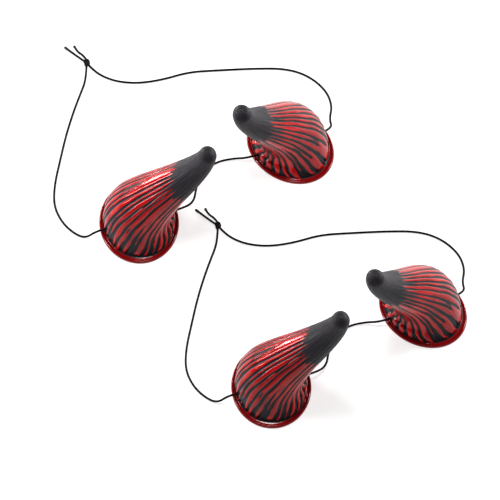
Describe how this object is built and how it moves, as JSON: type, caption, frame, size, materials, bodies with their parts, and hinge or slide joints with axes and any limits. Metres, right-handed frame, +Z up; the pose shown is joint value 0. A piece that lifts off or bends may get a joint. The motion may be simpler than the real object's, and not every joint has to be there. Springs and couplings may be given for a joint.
{
  "type": "costume horns on elastic cord",
  "caption": "Hollow curved costume horns with flat oval rims, mirror-image pairs threaded on knotted loops of thin round elastic cord to be worn on the head.",
  "frame": {"origin": "on the surface that the horns stand on, under the middle of the box round all the horns", "axes": "+Z up; +X to the right and +Y away, as the sets lie seen from the front; the left horn of each set leans along +X"},
  "size_m": [0.2897, 0.3272, 0.0947],
  "materials": {
    "horn_plastic": "glossy red moulding, grooves painted black, tip painted matte dark grey",
    "elastic_cord": "black braided round elastic",
    "cord_end": "melted cord end, satin"
  },
  "bodies": {
    "cord_set_1": {"elastic_cord_1": "elastic_cord", "cord_knot_1": "elastic_cord", "cord_tail_long_1": "elastic_cord", "cord_tail_short_1": "elastic_cord", "tail_seal_long_1": "cord_end", "tail_seal_short_1": "cord_end"},
    "left_horn_1": {"left_horn_1": "horn_plastic"},
    "right_horn_1": {"right_horn_1": "horn_plastic"},
    "cord_set_2": {"elastic_cord_2": "elastic_cord", "cord_knot_2": "elastic_cord", "cord_tail_long_2": "elastic_cord", "cord_tail_short_2": "elastic_cord", "tail_seal_long_2": "cord_end", "tail_seal_short_2": "cord_end"},
    "left_horn_2": {"left_horn_2": "horn_plastic"},
    "right_horn_2": {"right_horn_2": "horn_plastic"}
  },
  "joints": [
    {"name": "left_horn_1_swivel", "type": "hinge", "parent": "cord_set_1", "child": "left_horn_1", "pos_m": [-0.1005, 0.038, 0.0055], "axis": [-0.9511, -0.3089, 0], "range_deg": [0, 75]},
    {"name": "right_horn_1_swivel", "type": "hinge", "parent": "cord_set_1", "child": "right_horn_1", "pos_m": [0.0061, 0.1039, 0.0055], "axis": [-0.9205, -0.3906, 0], "range_deg": [0, 75]},
    {"name": "second_set_slide", "type": "slide", "parent": "cord_set_1", "child": "cord_set_2", "axis": [0.5513, -0.8343, 0], "range_m": [0, 0.1]},
    {"name": "left_horn_2_swivel", "type": "hinge", "parent": "cord_set_2", "child": "left_horn_2", "pos_m": [-0.008, -0.102, 0.0055], "axis": [-0.9511, -0.3089, 0], "range_deg": [0, 75]},
    {"name": "right_horn_2_swivel", "type": "hinge", "parent": "cord_set_2", "child": "right_horn_2", "pos_m": [0.0986, -0.0361, 0.0055], "axis": [-0.9205, -0.3906, 0], "range_deg": [0, 75]}
  ]
}
